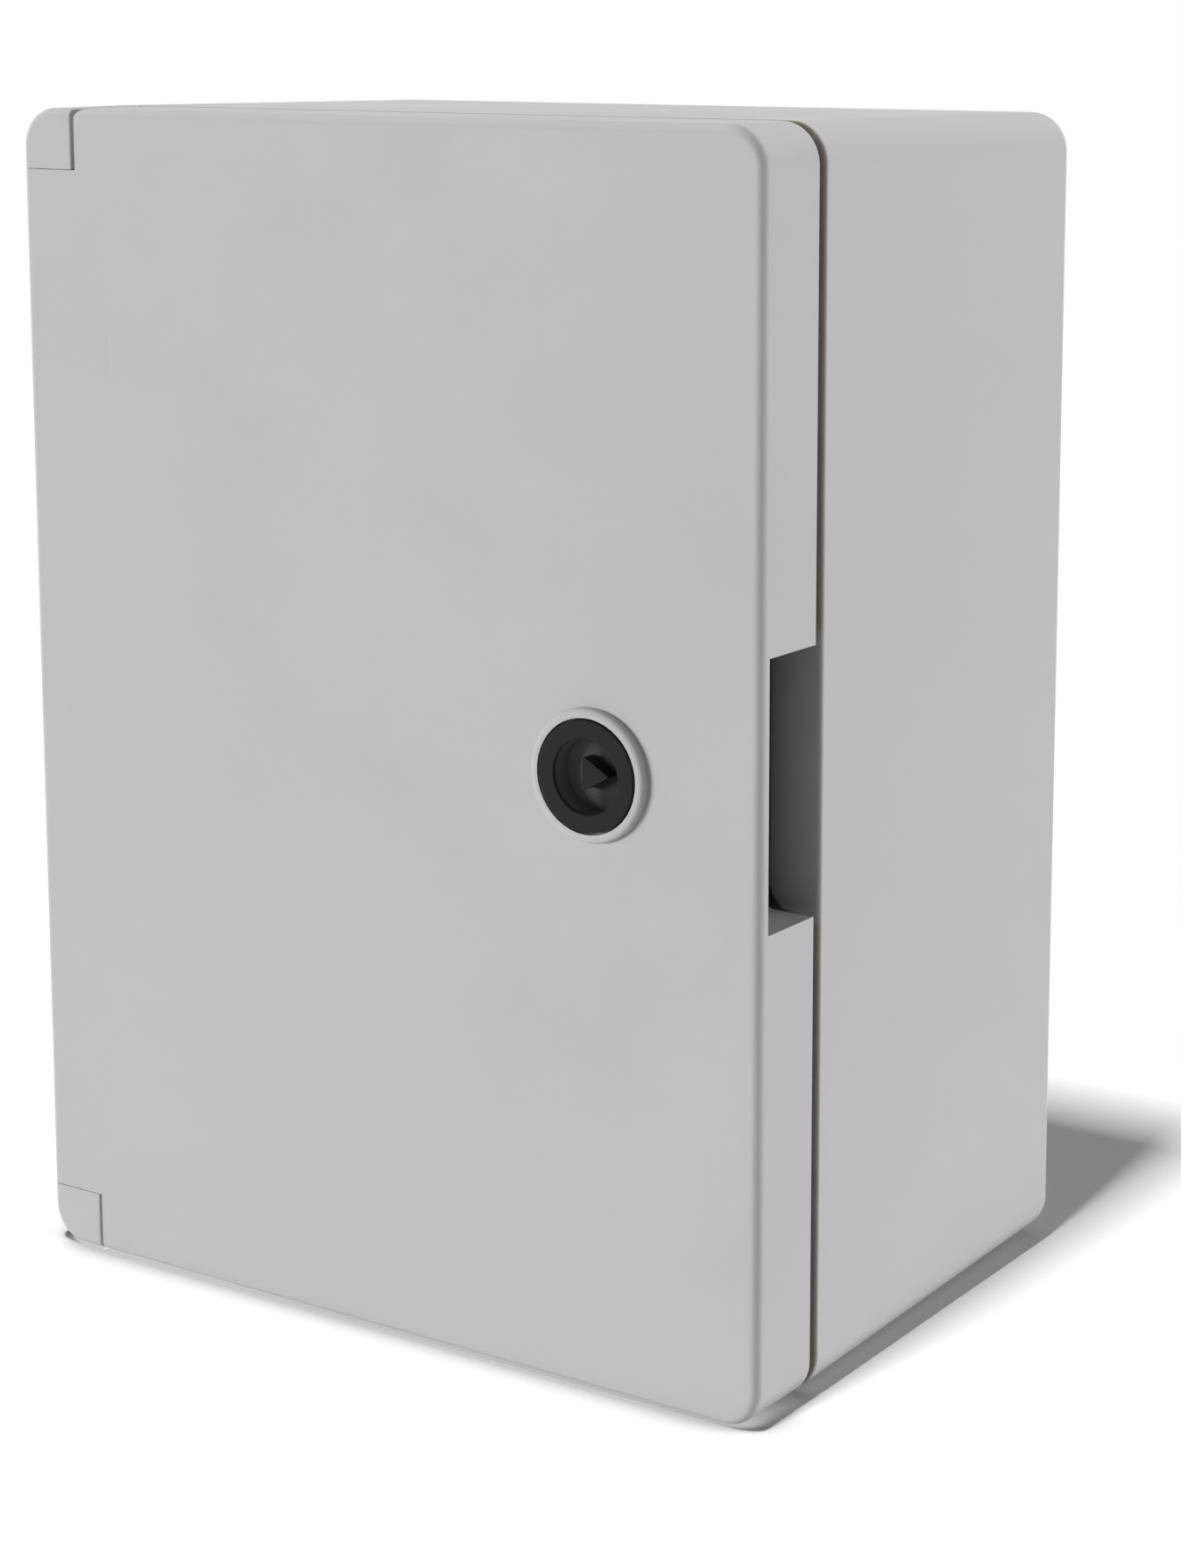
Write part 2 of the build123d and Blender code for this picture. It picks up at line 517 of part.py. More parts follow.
def plate_screws():
    """Pan-head screws with a straight slot that hold the plate."""
    top = PLATE_SCREW_SEAT - PLATE_SCREW_HEAD_HEIGHT
    screws = []
    for x, z in grid_spots(PLATE_HOLE_SPACING_X, PLATE_HOLE_SPACING_Z):
        head = slab(Circle(PLATE_SCREW_HEAD_RADIUS), top, PLATE_SCREW_SEAT, x, z)
        head = fillet(front_edges(head), PLATE_SCREW_HEAD_HEIGHT / 2)
        slot = Rectangle(2 * PLATE_SCREW_HEAD_RADIUS, PLATE_SCREW_RADIUS / 2)
        head -= slab(slot, top, top + PLATE_SCREW_HEAD_HEIGHT / 2, x, z)
        screws.append(head + slab(Circle(PLATE_SCREW_RADIUS), PLATE_SCREW_SEAT, PLATE_SCREW_TIP, x, z))
    return Compound(children=screws)


PIECES = {
    "body_shell": body_shell(),
    "upper_hinge_block": hinge_block(1),
    "lower_hinge_block": hinge_block(-1),
    "hinge_block_screws": block_screws(),
    "mounting_plate": mounting_plate(),
    "plate_inserts": plate_inserts(),
    "plate_washers": plate_washers(),
    "plate_screws": plate_screws(),
    "door_shell": door_shell(),
    "door_gasket": door_gasket(),
    "upper_hinge_pin": hinge_pin(1),
    "lower_hinge_pin": hinge_pin(-1),
    "latch_housing": latch_housing(),
    "latch_seal": latch_seal(),
    "latch_nut": latch_nut(),
    "latch_barrel": latch_barrel(),
    "barrel_o_ring": barrel_o_ring(),
    "latch_cam": latch_cam(),
    "cam_washer": cam_washer(),
    "cam_screw": cam_screw(),
}

os.makedirs("parts", exist_ok=True)
for name, piece in PIECES.items():
    export_step(piece, f"parts/{name}.step")
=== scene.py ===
from math import cos, pi, radians, sin

import bmesh
import bpy
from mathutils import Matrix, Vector, noise


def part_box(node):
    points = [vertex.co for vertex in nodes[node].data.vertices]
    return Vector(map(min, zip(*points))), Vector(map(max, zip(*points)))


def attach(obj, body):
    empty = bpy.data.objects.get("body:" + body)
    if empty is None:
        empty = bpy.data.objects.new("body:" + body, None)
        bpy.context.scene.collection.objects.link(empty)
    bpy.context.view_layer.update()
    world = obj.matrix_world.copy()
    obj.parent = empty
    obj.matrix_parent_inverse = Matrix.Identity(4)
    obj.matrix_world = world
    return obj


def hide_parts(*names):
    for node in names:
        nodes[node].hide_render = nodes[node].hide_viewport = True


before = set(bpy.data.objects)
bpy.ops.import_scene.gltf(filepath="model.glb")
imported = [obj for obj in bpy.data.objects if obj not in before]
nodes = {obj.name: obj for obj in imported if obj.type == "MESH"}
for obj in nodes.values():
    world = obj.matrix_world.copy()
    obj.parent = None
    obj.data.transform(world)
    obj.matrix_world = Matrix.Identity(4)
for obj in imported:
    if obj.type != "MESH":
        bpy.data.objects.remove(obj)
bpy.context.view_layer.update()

# The tub is one injection moulding in light grey plastic with a fine satin skin, and its sharp edges
# are rubbed a little paler. The outer edge of its rim, in the gap behind the door, is painted a dark
# tan, a painted shade with a warm cast, and the part of the rim that shows in the finger pocket is painted
# in shade.
CASE_GREY = (0.468, 0.468, 0.468, 1.0)
CASE_GREY_PALE = (0.487, 0.487, 0.487, 1.0)
CASE_GREY_WORN = (0.56, 0.56, 0.56, 1.0)
CASE_WEAR_SHARE = 0.35
CASE_ROUGHNESS = (0.36, 0.46)
CASE_EDGE_POLISH = -0.08
CASE_SPECULAR = 0.45
CASE_GRAIN_SCALE = 2600.0
CASE_GRAIN_DEPTH = 0.000006
CASE_PATCH_SCALE = 14.0
CASE_EDGE_WIDTH = 0.0007
SKIN_GRAIN_DETAIL = 3.0
SKIN_PATCH_DETAIL = 4.0
SKIN_PATCH_SPAN = (0.3, 0.7)
EDGE_SAMPLES = 4
EDGE_TURN_SPAN = (0.995, 0.86)
EDGE_BREAK_SCALE = 240.0
EDGE_BREAK_DETAIL = 3.0
EDGE_BREAK_SPAN = (0.38, 0.6)
GAP_SHADE_TAN = (0.17, 0.142, 0.085, 1.0)
GAP_SHADE_SHARE = 0.75
GAP_SHADE_DEPTH = 0.0016
GAP_SHADE_WIDTH = 0.006
GAP_SHADE_ROUGHNESS = 0.4
POCKET_REACH = 0.047
POCKET_FADE = 0.006
POCKET_SHADE_DEPTH = 0.026
POCKET_SHADE_FADE = 0.004
POCKET_SHADE_GREY = (0.1, 0.1, 0.1, 1.0)
POCKET_SHADE_SHARE = (0.5, 0.95)
POCKET_SHADE_REACH = 0.018
CORNER_SHADE_BLACK = (0.012, 0.012, 0.012, 1.0)
CORNER_SHADE_FADE = 0.0004
CORNER_SHADE_DEPTH = 0.003
CORNER_BEND = 0.009
CORNER_X = 0.1295 + CORNER_BEND
CORNER_Z = 0.0436 - CORNER_BEND


def put(tree, kind, values=None, **settings):
    """Places one node, with its settings and the values of its open sockets."""
    node = tree.nodes.new(kind)
    for name, setting in settings.items():
        setattr(node, name, setting)
    for socket, value in (values or {}).items():
        feed(tree, value, node.inputs[socket])
    return node


def feed(tree, value, socket):
    """Links a socket, or sets its value."""
    if isinstance(value, bpy.types.NodeSocket):
        tree.links.new(value, socket)
    else:
        socket.default_value = value


def calc(tree, operation, first, second=0.0, clamp=False):
    """The result of one sum on values or sockets."""
    values = {0: first, 1: second}
    return put(tree, "ShaderNodeMath", values, operation=operation, use_clamp=clamp).outputs[0]


def times(tree, first, *others):
    """The product of values or sockets, such as masks that hold at once."""
    for other in others:
        first = calc(tree, "MULTIPLY", first, other)
    return first


def ramp(tree, value, low, high, start=0.0, end=1.0):
    """A value carried from one span to another, held at its ends."""
    values = {"Value": value, "From Min": low, "From Max": high, "To Min": start, "To Max": end}
    return put(tree, "ShaderNodeMapRange", values).outputs["Result"]


def tint(tree, share, first, second):
    """A colour between two others."""
    return put(tree, "ShaderNodeMix", {0: share, 6: first, 7: second}, data_type="RGBA").outputs[2]


def place(tree):
    """Where a point lies on its piece, in metres, as one vector and as X, Y and Z."""
    spot = put(tree, "ShaderNodeTexCoord").outputs["Object"]
    return spot, put(tree, "ShaderNodeSeparateXYZ", {0: spot}).outputs


def mottle(tree, spot, scale, detail):
    """An uneven cast over a piece, from 0 to 1."""
    values = {"Vector": spot, "Scale": scale, "Detail": detail}
    return put(tree, "ShaderNodeTexNoise", values).outputs["Fac"]


def emboss(tree, shader, height, depth, strength=1.0):
    """Gives a surface the relief of its grain."""
    bump = put(tree, "ShaderNodeBump", {"Height": height, "Distance": depth, "Strength": strength})
    feed(tree, bump.outputs[0], shader.inputs["Normal"])


def shader_group(name, inputs, outputs):
    """An empty node group with its sockets, and the nodes that stand for them."""
    tree = bpy.data.node_groups.new(name, "ShaderNodeTree")
    for socket, value in inputs.items():
        slot = tree.interface.new_socket(socket, in_out="INPUT", socket_type="NodeSocketFloat")
        slot.default_value = value
    for socket in outputs:
        tree.interface.new_socket(socket, in_out="OUTPUT", socket_type="NodeSocketFloat")
    return tree, put(tree, "NodeGroupInput").outputs, put(tree, "NodeGroupOutput").inputs


def use_group(tree, group, **values):
    """Places a group in a material, with its own values."""
    node = put(tree, "ShaderNodeGroup", node_tree=group)
    for socket, value in values.items():
        feed(tree, value, node.inputs[socket])
    return node.outputs


def finish(name):
    """A new material: itself, its tree and its shader."""
    material = bpy.data.materials.new(name)
    material.use_nodes = True
    return material, material.node_tree, material.node_tree.nodes["Principled BSDF"]


def dress(material, *names):
    """Gives CAD pieces a finish."""
    for name in names:
        for slot in nodes[name].material_slots:
            slot.material = material


# Skin of a moulding: fine grain, and wide patches of gloss
skin_defaults = {"Grain": CASE_GRAIN_SCALE, "Patch": CASE_PATCH_SCALE}
moulded_skin, given, made = shader_group("moulded_skin", skin_defaults, ("Grain", "Patch"))
spot, _ = place(moulded_skin)
feed(moulded_skin, mottle(moulded_skin, spot, given["Grain"], SKIN_GRAIN_DETAIL), made["Grain"])
patch = mottle(moulded_skin, spot, given["Patch"], SKIN_PATCH_DETAIL)
feed(moulded_skin, ramp(moulded_skin, patch, *SKIN_PATCH_SPAN), made["Patch"])

# Rubbed edges: a broken band along each sharp edge, found from how the surface turns there
rubbed_edge, given, made = shader_group("rubbed_edge", {"Width": CASE_EDGE_WIDTH}, ("Edge",))
spot, _ = place(rubbed_edge)
rounded = put(rubbed_edge, "ShaderNodeBevel", {"Radius": given["Width"]}, samples=EDGE_SAMPLES)
straight = put(rubbed_edge, "ShaderNodeNewGeometry").outputs["Normal"]
both_ways = {0: rounded.outputs[0], 1: straight}
turn = put(rubbed_edge, "ShaderNodeVectorMath", both_ways, operation="DOT_PRODUCT").outputs["Value"]
band = ramp(rubbed_edge, turn, *EDGE_TURN_SPAN)
breaks = mottle(rubbed_edge, spot, EDGE_BREAK_SCALE, EDGE_BREAK_DETAIL)
feed(rubbed_edge, times(rubbed_edge, band, ramp(rubbed_edge, breaks, *EDGE_BREAK_SPAN)), made["Edge"])


def grey_moulding(name):
    """The satin grey of the case: its material, tree and shader, with the colour and gloss so far."""
    material, tree, shader = finish(name)
    skin = use_group(tree, moulded_skin, Grain=CASE_GRAIN_SCALE, Patch=CASE_PATCH_SCALE)
    edge = use_group(tree, rubbed_edge, Width=CASE_EDGE_WIDTH)["Edge"]
    colour = tint(tree, skin["Patch"], CASE_GREY, CASE_GREY_PALE)
    colour = tint(tree, times(tree, edge, CASE_WEAR_SHARE), colour, CASE_GREY_WORN)
    gloss = ramp(tree, skin["Patch"], 0.0, 1.0, *CASE_ROUGHNESS)
    gloss = calc(tree, "ADD", gloss, times(tree, edge, CASE_EDGE_POLISH))
    emboss(tree, shader, skin["Grain"], CASE_GRAIN_DEPTH)
    shader.inputs["Specular IOR Level"].default_value = CASE_SPECULAR
    return material, tree, shader, colour, gloss


tub_grey, tree, shader, colour, gloss = grey_moulding("tub_grey")
_, axes = place(tree)
tub_low, tub_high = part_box("body_shell")
side_x = tub_high.x
rim_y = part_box("upper_hinge_block")[1].y
pocket_z = (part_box("door_shell")[0].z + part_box("door_shell")[1].z) / 2
near_rim = ramp(tree, axes["Y"], rim_y + GAP_SHADE_DEPTH, rim_y + GAP_SHADE_DEPTH / 4)
from_pocket = calc(tree, "ABSOLUTE", calc(tree, "SUBTRACT", axes["Z"], pocket_z))
past_pocket = ramp(tree, from_pocket, POCKET_REACH - POCKET_FADE, POCKET_REACH)

# Painted shade in dark tan along the rim's outer edge in the gap, above and below the pocket
from_side = calc(tree, "SUBTRACT", side_x, calc(tree, "ABSOLUTE", axes["X"]))
from_foot = calc(tree, "SUBTRACT", axes["Z"], tub_low.z)
from_top = calc(tree, "SUBTRACT", tub_high.z, axes["Z"])
from_edge = calc(tree, "MINIMUM", from_side, calc(tree, "MINIMUM", from_foot, from_top))
outer = ramp(tree, from_edge, GAP_SHADE_WIDTH, GAP_SHADE_WIDTH / 2)
painted_tone = times(tree, near_rim, outer, past_pocket, GAP_SHADE_SHARE)

# Painted shade on the rim in the pocket, darker further in, and painted black shade in the pocket's two
# deep corners
in_pocket = ramp(tree, axes["X"], side_x - POCKET_SHADE_DEPTH, side_x - POCKET_SHADE_DEPTH + POCKET_SHADE_FADE)
pocket_shade = times(tree, near_rim, in_pocket, ramp(tree, past_pocket, 1.0, 0.0))
deeper = ramp(tree, axes["X"], side_x, side_x - POCKET_SHADE_REACH, *POCKET_SHADE_SHARE)
colour = tint(tree, times(tree, pocket_shade, deeper), colour, POCKET_SHADE_GREY)
# Painted black shade in the pocket's two deep corners, cut round by the bend of the pocket
in_x = calc(tree, "MAXIMUM", calc(tree, "SUBTRACT", CORNER_X, axes["X"]), 0.0)
in_z = calc(tree, "MAXIMUM", calc(tree, "SUBTRACT", from_pocket, CORNER_Z), 0.0)
round_in = calc(tree, "SQRT", calc(tree, "ADD", times(tree, in_x, in_x), times(tree, in_z, in_z)))
corner_shade = ramp(tree, round_in, CORNER_BEND - CORNER_SHADE_FADE, CORNER_BEND + CORNER_SHADE_FADE)
deep = ramp(tree, axes["X"], CORNER_X + CORNER_SHADE_DEPTH, CORNER_X)
colour = tint(tree, times(tree, corner_shade, pocket_shade, deep), colour, CORNER_SHADE_BLACK)
feed(tree, tint(tree, painted_tone, colour, GAP_SHADE_TAN), shader.inputs["Base Color"])
dulled = calc(tree, "ADD", gloss, times(tree, painted_tone, GAP_SHADE_ROUGHNESS), clamp=True)
feed(tree, dulled, shader.inputs["Roughness"])
dress(tub_grey, "body_shell")

# The hinge blocks are two corner pieces of the same grey plastic, screwed to the flange from
# inside the tub and flush with the face of the door. Their skin is the same satin as the tub's.
block_grey, tree, shader, colour, gloss = grey_moulding("block_grey")
feed(tree, colour, shader.inputs["Base Color"])
feed(tree, gloss, shader.inputs["Roughness"])
dress(block_grey, "upper_hinge_block", "lower_hinge_block")

# The screws and washers are headed or stamped from steel and zinc plated. The plating is thin, so
# it shows fine drawing marks and a faint play of blue and yellow, and it is brighter on its edges.
ZINC_BLUE = (0.60, 0.63, 0.67, 1.0)
ZINC_YELLOW = (0.68, 0.66, 0.58, 1.0)
ZINC_RUBBED = (0.78, 0.79, 0.80, 1.0)
ZINC_CLOUD_SCALE = 160.0
ZINC_CLOUD_DETAIL = 5.0
ZINC_CLOUD_SPAN = (0.35, 0.65)
ZINC_GLOSS_SPAN = (0.3, 0.7)
ZINC_ROUGHNESS = (0.26, 0.42)
ZINC_MARK_SCALE = 5200.0
ZINC_MARK_DETAIL = 2.0
ZINC_MARK_DEPTH = 0.000008
ZINC_EDGE_WIDTH = 0.0003

zinc_plate, tree, shader = finish("zinc_plate")
spot, _ = place(tree)
clouds = mottle(tree, spot, ZINC_CLOUD_SCALE, ZINC_CLOUD_DETAIL)
edge = use_group(tree, rubbed_edge, Width=ZINC_EDGE_WIDTH)["Edge"]
colour = tint(tree, ramp(tree, clouds, *ZINC_CLOUD_SPAN), ZINC_BLUE, ZINC_YELLOW)
feed(tree, tint(tree, edge, colour, ZINC_RUBBED), shader.inputs["Base Color"])
feed(tree, ramp(tree, clouds, *ZINC_GLOSS_SPAN, *ZINC_ROUGHNESS), shader.inputs["Roughness"])
emboss(tree, shader, mottle(tree, spot, ZINC_MARK_SCALE, ZINC_MARK_DETAIL), ZINC_MARK_DEPTH)
shader.inputs["Metallic"].default_value = 1.0
dress(zinc_plate, "hinge_block_screws", "plate_washers", "plate_screws")

# The mounting plate is cut from hot-dip galvanised sheet, with its corners cropped and four holes.
# The zinc froze in wide flat crystals, and the shears left fine scratches.
SPANGLE_DARK = (0.42, 0.44, 0.46, 1.0)
SPANGLE_LIGHT = (0.66, 0.68, 0.70, 1.0)
SPANGLE_SCALE = 95.0
SPANGLE_WANDER_SCALE = 90.0
SPANGLE_WANDER_DETAIL = 3.0
SPANGLE_WANDER_SHARE = 0.012
SPANGLE_SHARE = 0.7
SPANGLE_ROUGHNESS = (0.3, 0.5)
SPANGLE_RELIEF = 0.4
FERN_SCALE = 900.0
FERN_DETAIL = 4.0
FERN_SHARE = 0.3
SCRATCH_STRETCH = (60.0, 60.0, 4200.0)
SCRATCH_DETAIL = 2.0
PLATE_RELIEF_DEPTH = 0.00001
PLATE_RELIEF_STRENGTH = 0.6

galvanised, tree, shader = finish("galvanised")
spot, _ = place(tree)
wavering = {"Vector": spot, "Scale": SPANGLE_WANDER_SCALE, "Detail": SPANGLE_WANDER_DETAIL}
wander = put(tree, "ShaderNodeTexNoise", wavering).outputs["Color"]
bent = put(tree, "ShaderNodeMix", {0: SPANGLE_WANDER_SHARE, 4: spot, 5: wander}, data_type="VECTOR")
crystal = put(tree, "ShaderNodeTexVoronoi", {"Vector": bent.outputs[1], "Scale": SPANGLE_SCALE})
shade = put(tree, "ShaderNodeSeparateColor", {0: crystal.outputs["Color"]}).outputs
fern = mottle(tree, spot, FERN_SCALE, FERN_DETAIL)
stretch = put(tree, "ShaderNodeMapping", {"Vector": spot, "Scale": SCRATCH_STRETCH})
scratch = mottle(tree, stretch.outputs[0], 1.0, SCRATCH_DETAIL)
level = calc(tree, "ADD", times(tree, shade["Red"], SPANGLE_SHARE), times(tree, fern, FERN_SHARE))
feed(tree, tint(tree, level, SPANGLE_DARK, SPANGLE_LIGHT), shader.inputs["Base Color"])
feed(tree, ramp(tree, shade["Green"], 0.0, 1.0, *SPANGLE_ROUGHNESS), shader.inputs["Roughness"])
relief = calc(tree, "ADD", times(tree, shade["Blue"], SPANGLE_RELIEF), scratch)
emboss(tree, shader, relief, PLATE_RELIEF_DEPTH, PLATE_RELIEF_STRENGTH)
shader.inputs["Metallic"].default_value = 1.0
dress(galvanised, "mounting_plate")

# The inserts are turned brass sleeves, moulded into the ends of the four posts to take the plate
# screws. Only their end faces show, and those have gone dull in patches.
BRASS_BRIGHT = (0.75, 0.56, 0.27, 1.0)
BRASS_DULL = (0.55, 0.39, 0.18, 1.0)
BRASS_ROUGHNESS = (0.25, 0.45)
TARNISH_SCALE = 420.0
TARNISH_DETAIL = 4.0
TARNISH_SPAN = (0.35, 0.65)

turned_brass, tree, shader = finish("turned_brass")
spot, _ = place(tree)
tarnish = mottle(tree, spot, TARNISH_SCALE, TARNISH_DETAIL)
colour = tint(tree, ramp(tree, tarnish, *TARNISH_SPAN), BRASS_BRIGHT, BRASS_DULL)
feed(tree, colour, shader.inputs["Base Color"])
feed(tree, ramp(tree, tarnish, *TARNISH_SPAN, *BRASS_ROUGHNESS), shader.inputs["Roughness"])
shader.inputs["Metallic"].default_value = 1.0
dress(turned_brass, "plate_inserts")

# The door is a second moulding in the same grey, hung on two pins. Hands have polished its face a
# little round the latch, and it has one faint pale rub high on the left.
HAND_REACH = 0.075
HAND_POLISH = -0.06
SMEAR_SCALE = 55.0
SMEAR_DETAIL = 5.0
SMEAR_DISTORTION = 1.2
SMEAR_SPAN = (0.42, 0.62)
RUB_SPOT = (-0.1096, 0.319)
RUB_HALF_WIDTH = 0.0011
RUB_HALF_LENGTH = 0.0085
RUB_SHARE = 0.3

door_grey, tree, shader, colour, gloss = grey_moulding("door_grey")
latch_low, latch_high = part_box("latch_housing")
latch_middle = (latch_low + latch_high) / 2
spot, axes = place(tree)
from_latch = put(tree, "ShaderNodeVectorMath", {0: spot, 1: latch_middle}, operation="DISTANCE")
reached = ramp(tree, from_latch.outputs["Value"], HAND_REACH, HAND_REACH / 3)
smearing = {"Vector": spot, "Scale": SMEAR_SCALE, "Detail": SMEAR_DETAIL, "Distortion": SMEAR_DISTORTION}
smears = put(tree, "ShaderNodeTexNoise", smearing).outputs["Fac"]
handled = times(tree, reached, ramp(tree, smears, *SMEAR_SPAN))
across = calc(tree, "DIVIDE", calc(tree, "SUBTRACT", axes["X"], RUB_SPOT[0]), RUB_HALF_WIDTH)
along = calc(tree, "DIVIDE", calc(tree, "SUBTRACT", axes["Z"], RUB_SPOT[1]), RUB_HALF_LENGTH)
away = calc(tree, "ADD", times(tree, across, across), times(tree, along, along))
rub = ramp(tree, away, 1.0, 0.0, 0.0, RUB_SHARE)
feed(tree, tint(tree, rub, colour, CASE_GREY_WORN), shader.inputs["Base Color"])
feed(tree, calc(tree, "ADD", gloss, times(tree, handled, HAND_POLISH)), shader.inputs["Roughness"])
dress(door_grey, "door_shell")

# The seal is polyurethane foam, poured as one bead between two ribs of the door, where it rose and
# set with a skin. Its crown wanders a little, and dips on both sides of the lap, where the end of
# the bead meets its start.
SEAL_CREAM = (0.40, 0.385, 0.34, 1.0)
SEAL_SHADE = (0.30, 0.285, 0.245, 1.0)
SEAL_ROUGHNESS = (0.7, 0.9)
SEAL_SPECULAR = 0.25
SEAL_CLOUD_SCALE = 130.0
SEAL_CLOUD_DETAIL = 4.0
SEAL_CLOUD_SPAN = (0.35, 0.65)
SEAL_GLOSS_SPAN = (0.3, 0.7)
SEAL_PORE_SCALE = 1500.0
SEAL_PORE_SPAN = (0.0, 0.35)
SEAL_PORE_DEPTH = 0.00008
SEAL_PORE_STRENGTH = 0.7
SEAL_WIDTH = 0.008
SEAL_SIDE_PLAY = 0.00012
SEAL_CORNER_RADIUS = 0.0145
SEAL_CORNER_STEPS = 8
SEAL_STEP = 0.0022
SEAL_SECTION = (
    (-1.0, 0.0),
    (-1.0, 0.5),
    (-0.97, 0.68),
    (-0.87, 0.82),
    (-0.68, 0.92),
    (-0.4, 0.97),
    (0.0, 0.985),
)
SEAL_WANDER = 0.00022
SEAL_WANDER_SCALE = 40
SEAL_LAP_LENGTH = 0.007
SEAL_LAP_DIP = 0.0004

seal_low, seal_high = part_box("door_gasket")
seal_middle = (seal_low + seal_high) / 2
half_x = seal_high.x - seal_middle.x - SEAL_WIDTH / 2
half_z = seal_high.z - seal_middle.z - SEAL_WIDTH / 2
bend = SEAL_CORNER_RADIUS - SEAL_WIDTH / 2
section = [*SEAL_SECTION, *[(-side, rise) for side, rise in reversed(SEAL_SECTION[:-1])]]


def seal_line():
    """Points along the middle of the bead, each with its way outwards, from the lap at the foot."""
    corners = ((1, -1, -pi / 2), (1, 1, 0.0), (-1, 1, pi / 2), (-1, -1, pi))
    knots = [(Vector((0, -half_z)), Vector((0, -1)))]
    for side, rise, start in corners:
        centre = Vector((side * (half_x - bend), rise * (half_z - bend)))
        for step in range(SEAL_CORNER_STEPS + 1):
            angle = start + step / SEAL_CORNER_STEPS * pi / 2
            out = Vector((cos(angle), sin(angle)))
            knots.append((centre + out * bend, out))
    knots.append(knots[0])
    line = []
    for (first, out), (second, next_out) in zip(knots, knots[1:]):
        parts = max(1, round((second - first).length / SEAL_STEP))
        for part in range(parts):
            share = part / parts
            line.append((first.lerp(second, share), out.lerp(next_out, share).normalized()))
    return line


bead = bmesh.new()
rings = []
run = seal_line()
half_width = SEAL_WIDTH / 2 - SEAL_SIDE_PLAY
depth = seal_high.y - seal_low.y
for number, (point, out) in enumerate(run):
    walked = min(number, len(run) - number) * SEAL_STEP
    wave = Vector((point.x * SEAL_WANDER_SCALE, point.y * SEAL_WANDER_SCALE, 0.0))
    drift = SEAL_WANDER * noise.noise(wave)
    lap = SEAL_LAP_DIP * max(0.0, 1 - abs(walked - SEAL_LAP_LENGTH) / SEAL_LAP_LENGTH)
    ring = []
    for side, rise in section:
        across = side * half_width
        sink = (SEAL_WANDER - drift + lap) * rise
        spot_x = seal_middle.x + point.x + out.x * across
        spot_z = seal_middle.z + point.y + out.y * across
        ring.append(bead.verts.new((spot_x, seal_low.y + rise * depth - sink, spot_z)))
    rings.append(ring)
for ring, following in zip(rings, rings[1:] + rings[:1]):
    for first in range(len(section)):
        second = (first + 1) % len(section)
        bead.faces.new((ring[first], ring[second], following[second], following[first]))
bmesh.ops.recalc_face_normals(bead, faces=bead.faces)
for face in bead.faces:
    face.smooth = True
seal_mesh = bpy.data.meshes.new("foam_seal")
bead.to_mesh(seal_mesh)
bead.free()
foam_seal = bpy.data.objects.new("foam_seal", seal_mesh)
bpy.context.collection.objects.link(foam_seal)

seal_foam, tree, shader = finish("seal_foam_skin")
spot, _ = place(tree)
pores = put(tree, "ShaderNodeTexVoronoi", {"Vector": spot, "Scale": SEAL_PORE_SCALE}).outputs["Distance"]
clouds = mottle(tree, spot, SEAL_CLOUD_SCALE, SEAL_CLOUD_DETAIL)
pits = ramp(tree, pores, *SEAL_PORE_SPAN)
colour = tint(tree, ramp(tree, clouds, *SEAL_CLOUD_SPAN), SEAL_CREAM, SEAL_SHADE)
# The pores are painted in the darker cream, a painted shade in them
feed(tree, tint(tree, pits, SEAL_SHADE, colour), shader.inputs["Base Color"])
feed(tree, ramp(tree, clouds, *SEAL_GLOSS_SPAN, *SEAL_ROUGHNESS), shader.inputs["Roughness"])
emboss(tree, shader, pits, SEAL_PORE_DEPTH, SEAL_PORE_STRENGTH)
shader.inputs["Specular IOR Level"].default_value = SEAL_SPECULAR
seal_mesh.materials.append(seal_foam)
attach(foam_seal, "door")
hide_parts("door_gasket")

# The hinge pins are plain lengths of steel wire, zinc plated like the screws. They are pushed
# through the door's knuckles into the corner blocks.
dress(zinc_plate, "upper_hinge_pin", "lower_hinge_pin")

# The latch housing is moulded in black glass-filled plastic. The mould was spark eroded, so its
# faces are matt and grainy, and the shank behind the door has a moulded thread. The key recess is
# painted a paler grey on its floor and its wall, a painted light that fills its shade.
LATCH_BLACK = (0.0165, 0.0165, 0.0165, 1.0)
LATCH_BLACK_PALE = (0.02, 0.02, 0.0203, 1.0)
LATCH_RUBBED = (0.06, 0.06, 0.06, 1.0)
LATCH_WEAR_SHARE = 0.5
LATCH_ROUGHNESS = (0.42, 0.56)
LATCH_SPECULAR = 0.12
LATCH_GRAIN_SCALE = 2100.0
LATCH_PATCH_SCALE = 90.0
LATCH_EDGE_WIDTH = 0.0004
RECESS_FILL_GREY = (0.13, 0.128, 0.126, 1.0)
RECESS_FILL_REACH = 0.0126
RECESS_FILL_FADE = 0.0004
RECESS_FLOOR_SPAN = (0.0036, 0.006)
RECESS_WALL_SPAN = (0.0095, 0.0105)
RECESS_LIP_SPAN = (0.0006, 0.002)
RECESS_SHADED_SIDE_SPAN = (0.001, -0.006)
RECESS_SHADED_SIDE_SHARE = (0.12, 1.0)
FACE_ON = (1.0, 0.0, 1.0)
THREAD_PITCH = 0.0015
THREAD_START = (0.009, 0.0095)
THREAD_DEPTH = 0.0006
HOUSING_GRAIN_SHARE = 0.05

